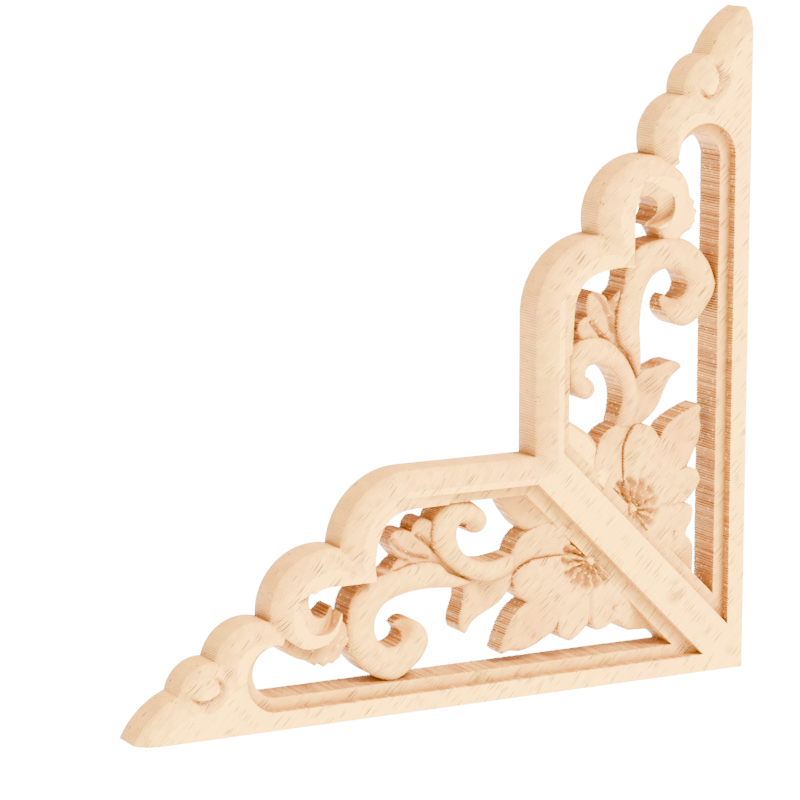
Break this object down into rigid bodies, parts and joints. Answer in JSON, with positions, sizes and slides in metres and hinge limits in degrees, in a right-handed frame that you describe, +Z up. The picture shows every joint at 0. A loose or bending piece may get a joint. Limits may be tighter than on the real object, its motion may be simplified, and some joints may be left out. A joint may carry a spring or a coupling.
{
  "type": "carved corner onlay",
  "caption": "Carved wooden corner onlay: an L with scalloped arms, a plain diagonal rib and pierced scrolls, leaves and petals, flat behind for gluing to furniture.",
  "frame": {"origin": "the back mount: on the flat back, 5 mm in from both straight outer sides at the heel of the L", "axes": "+Y out of the flat back, so the carved front faces -Y; +Z up along the upright arm; the lower arm runs to -X"},
  "size_m": [0.1, 0.007, 0.1],
  "materials": {
    "wood": "unfinished, machine carved, pale"
  },
  "bodies": {
    "root": {"onlay": "wood"}
  },
  "joints": []
}
